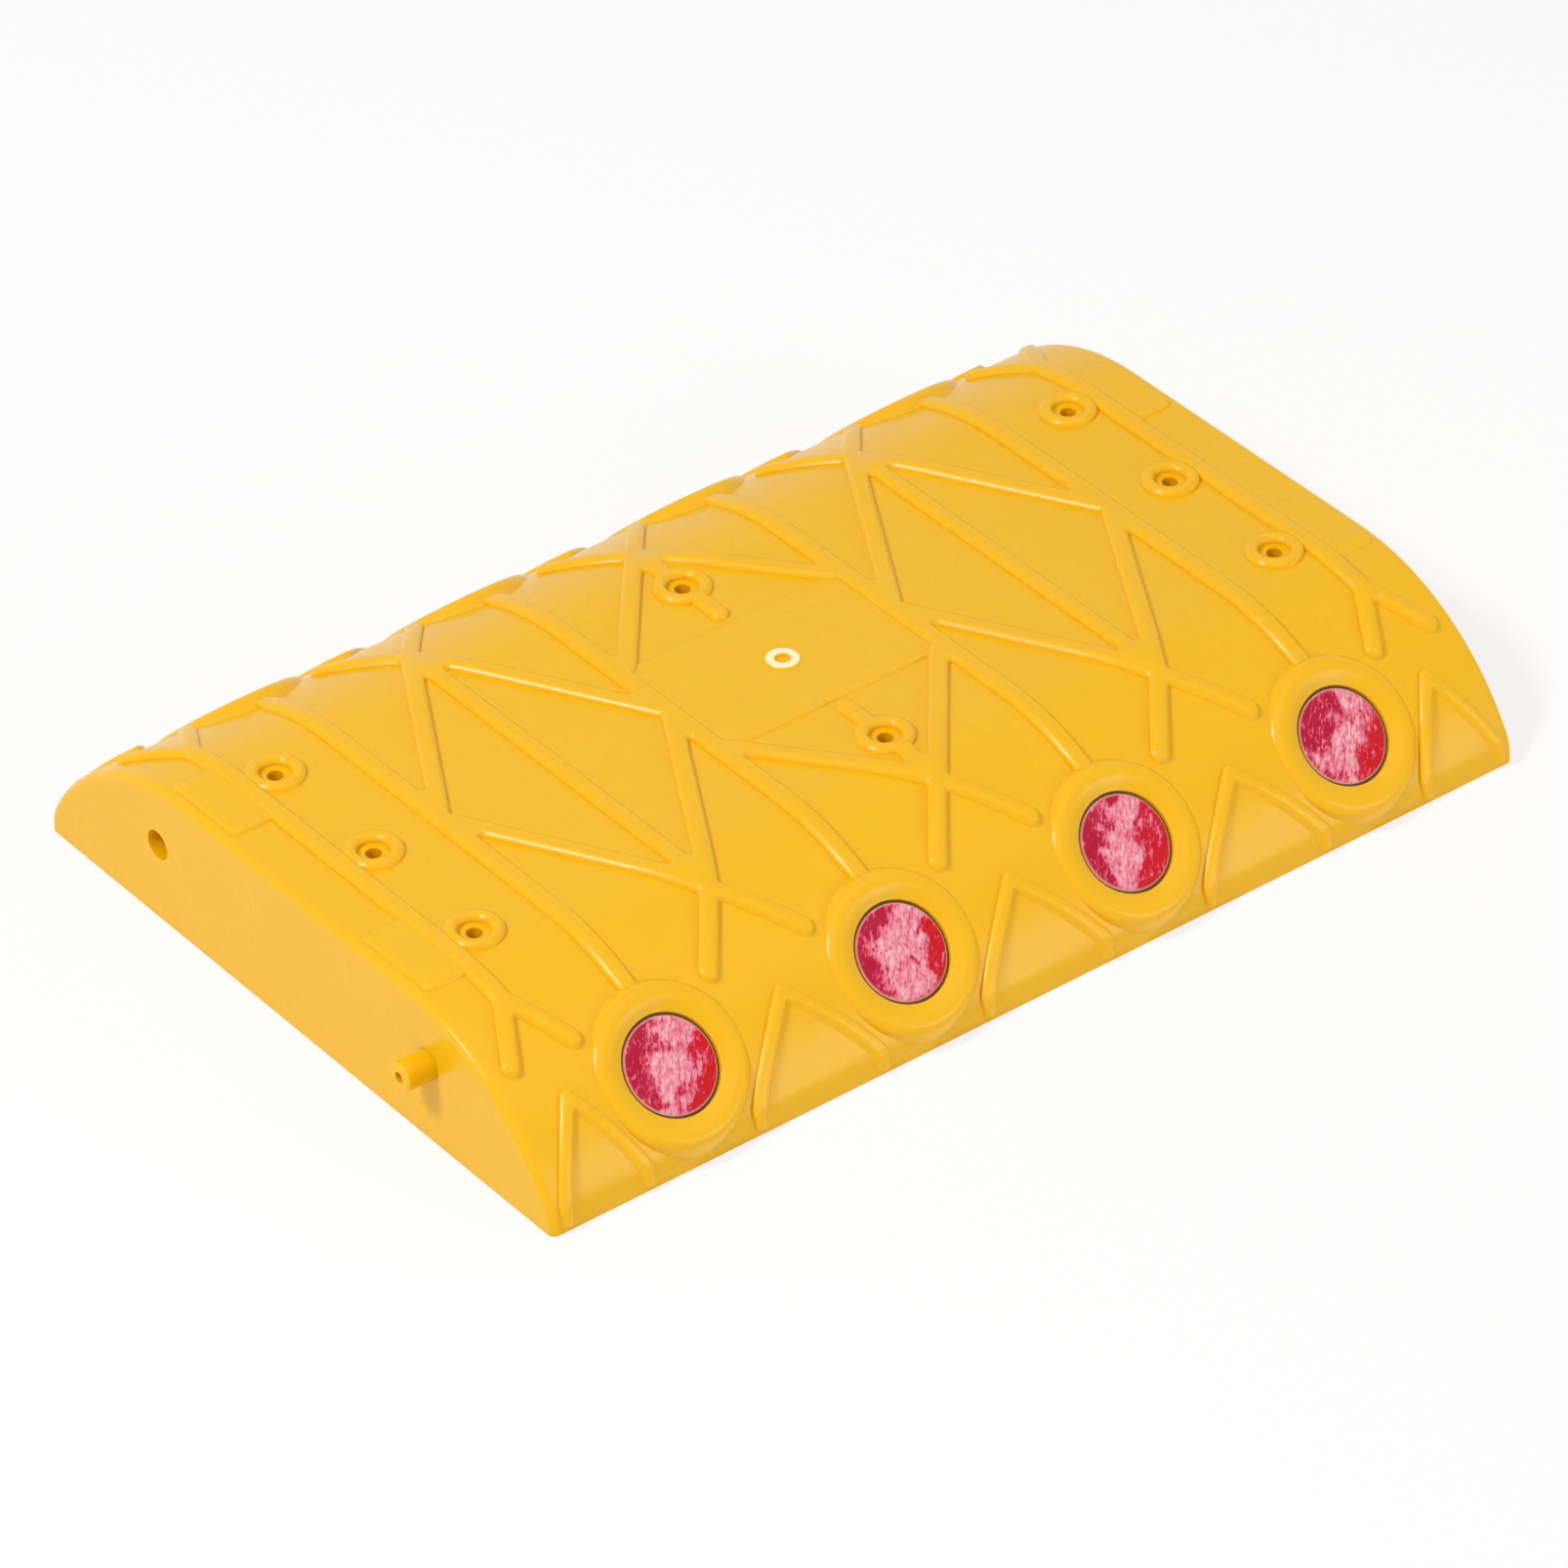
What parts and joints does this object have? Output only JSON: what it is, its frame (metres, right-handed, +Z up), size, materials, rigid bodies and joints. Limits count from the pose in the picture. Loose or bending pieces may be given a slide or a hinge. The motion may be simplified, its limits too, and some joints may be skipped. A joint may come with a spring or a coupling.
{
  "type": "speed bump",
  "caption": "Hollow yellow moulded road speed bump module with tread ribs, bolt bosses, round red reflectors in both flanks and end pegs and sockets that link it to its neighbours.",
  "frame": {"origin": "middle of the footprint on the road surface, at the underside of the bump", "axes": "+X along the row of reflectors towards the right end, +Y from the front flank to the rear flank, +Z up"},
  "size_m": [0.528, 0.3508, 0.0709],
  "materials": {
    "yellow_plastic": "glossy injection-moulded yellow",
    "red_lens": "clear red moulded acrylic",
    "bright_foil": "bright embossed foil",
    "dark_plastic": "dark moulded plastic",
    "adhesive_foam": "double-sided foam tape"
  },
  "bodies": {
    "root": {"bump_shell": "yellow_plastic", "front_lens_1": "red_lens", "front_reflective_disc_1": "bright_foil", "front_reflector_cup_1": "dark_plastic", "front_adhesive_pad_1": "adhesive_foam", "front_lens_2": "red_lens", "front_reflective_disc_2": "bright_foil", "front_reflector_cup_2": "dark_plastic", "front_adhesive_pad_2": "adhesive_foam", "front_lens_3": "red_lens", "front_reflective_disc_3": "bright_foil", "front_reflector_cup_3": "dark_plastic", "front_adhesive_pad_3": "adhesive_foam", "front_lens_4": "red_lens", "front_reflective_disc_4": "bright_foil", "front_reflector_cup_4": "dark_plastic", "front_adhesive_pad_4": "adhesive_foam", "rear_lens_1": "red_lens", "rear_reflective_disc_1": "bright_foil", "rear_reflector_cup_1": "dark_plastic", "rear_adhesive_pad_1": "adhesive_foam", "rear_lens_2": "red_lens", "rear_reflective_disc_2": "bright_foil", "rear_reflector_cup_2": "dark_plastic", "rear_adhesive_pad_2": "adhesive_foam", "rear_lens_3": "red_lens", "rear_reflective_disc_3": "bright_foil", "rear_reflector_cup_3": "dark_plastic", "rear_adhesive_pad_3": "adhesive_foam", "rear_lens_4": "red_lens", "rear_reflective_disc_4": "bright_foil", "rear_reflector_cup_4": "dark_plastic", "rear_adhesive_pad_4": "adhesive_foam", "left_connector_peg": "yellow_plastic", "right_connector_peg": "yellow_plastic"}
  },
  "joints": []
}
